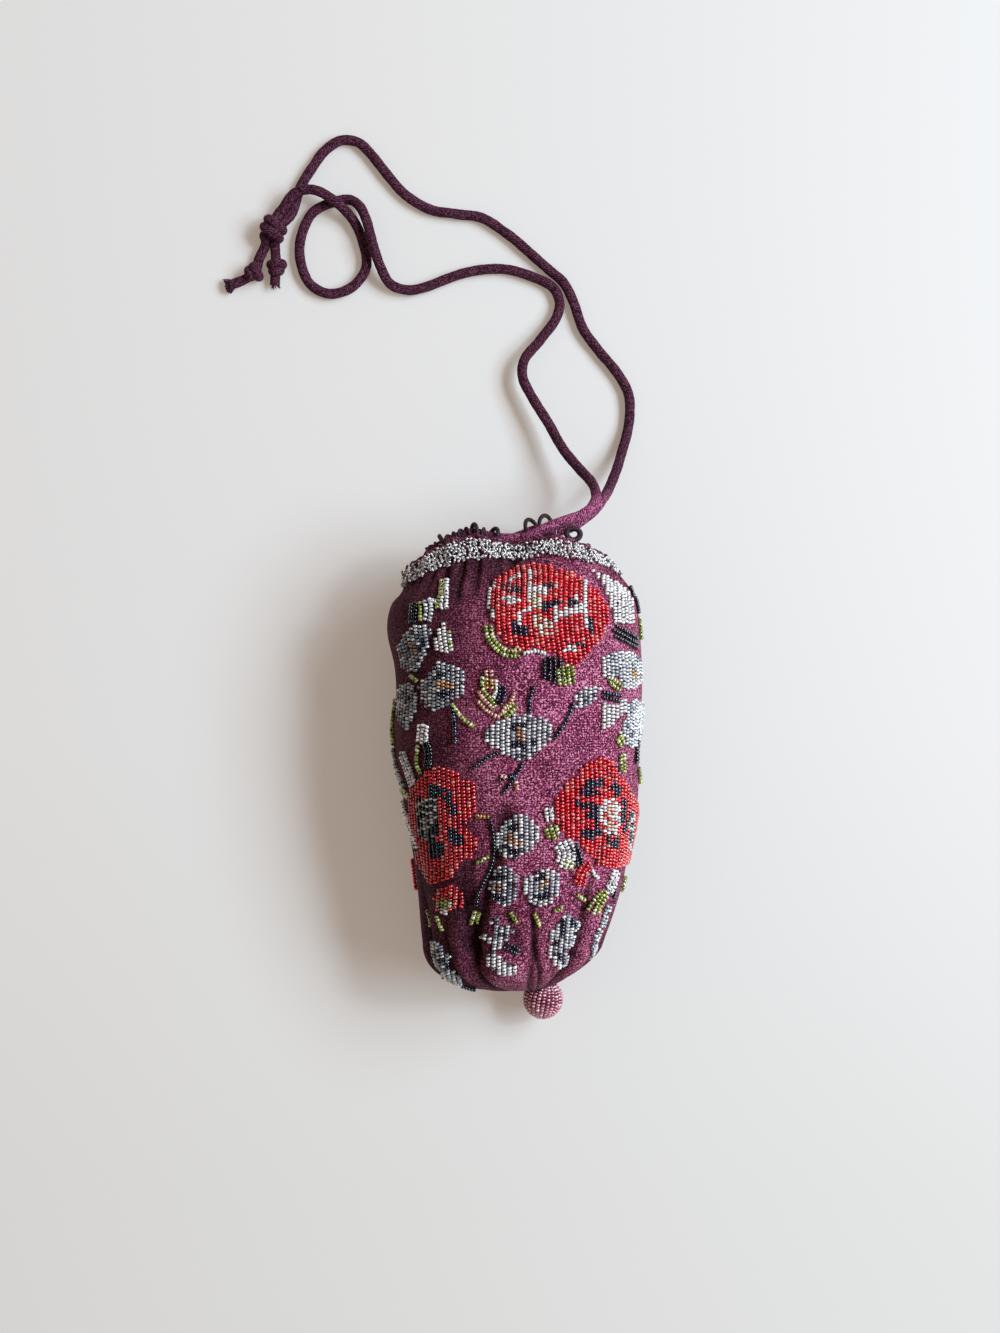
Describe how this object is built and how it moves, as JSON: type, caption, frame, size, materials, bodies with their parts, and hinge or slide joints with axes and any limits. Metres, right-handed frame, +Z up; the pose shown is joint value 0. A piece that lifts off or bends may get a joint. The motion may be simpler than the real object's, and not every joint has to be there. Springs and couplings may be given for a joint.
{
  "type": "beaded drawstring reticule",
  "caption": "Plump plum wool reticule lying on its side, with floral seed beadwork, a beaded mouth band on thread rings, a knotted cloth drawstring and a beaded ball at the base.",
  "frame": {"origin": "bottom centre of the bag with its ball and rings, on the surface that it rests on, the free cord left out", "axes": "+Y along the bag from the base to the mouth, +Z up, +X to the right when the mouth points away from the viewer"},
  "size_m": [0.1639, 0.3493, 0.0666],
  "materials": {
    "wool_cloth": "mottled plum wool crepe",
    "cord_cloth": "plum crepe sewn into a round cord",
    "silver_beads": "clear and silver-lined glass seed beads",
    "pink_beads": "mauve pink glass seed beads",
    "red_beads": "silver-lined red glass seed beads",
    "flower_beads": "grey, navy, green, amber and clear glass seed beads",
    "dark_thread": "dark brown buttonhole thread"
  },
  "bodies": {
    "root": {"pouch": "wool_cloth", "mouth_band": "silver_beads", "drawstring": "cord_cloth", "strand_a": "cord_cloth", "strand_b": "cord_cloth", "joining_knot": "cord_cloth", "tail_left": "cord_cloth", "tail_right": "cord_cloth", "base_ball": "pink_beads", "thread_ring_01": "dark_thread", "thread_ring_02": "dark_thread", "thread_ring_03": "dark_thread", "thread_ring_04": "dark_thread", "thread_ring_05": "dark_thread", "thread_ring_06": "dark_thread", "thread_ring_07": "dark_thread", "thread_ring_08": "dark_thread", "thread_ring_09": "dark_thread"}
  },
  "joints": []
}
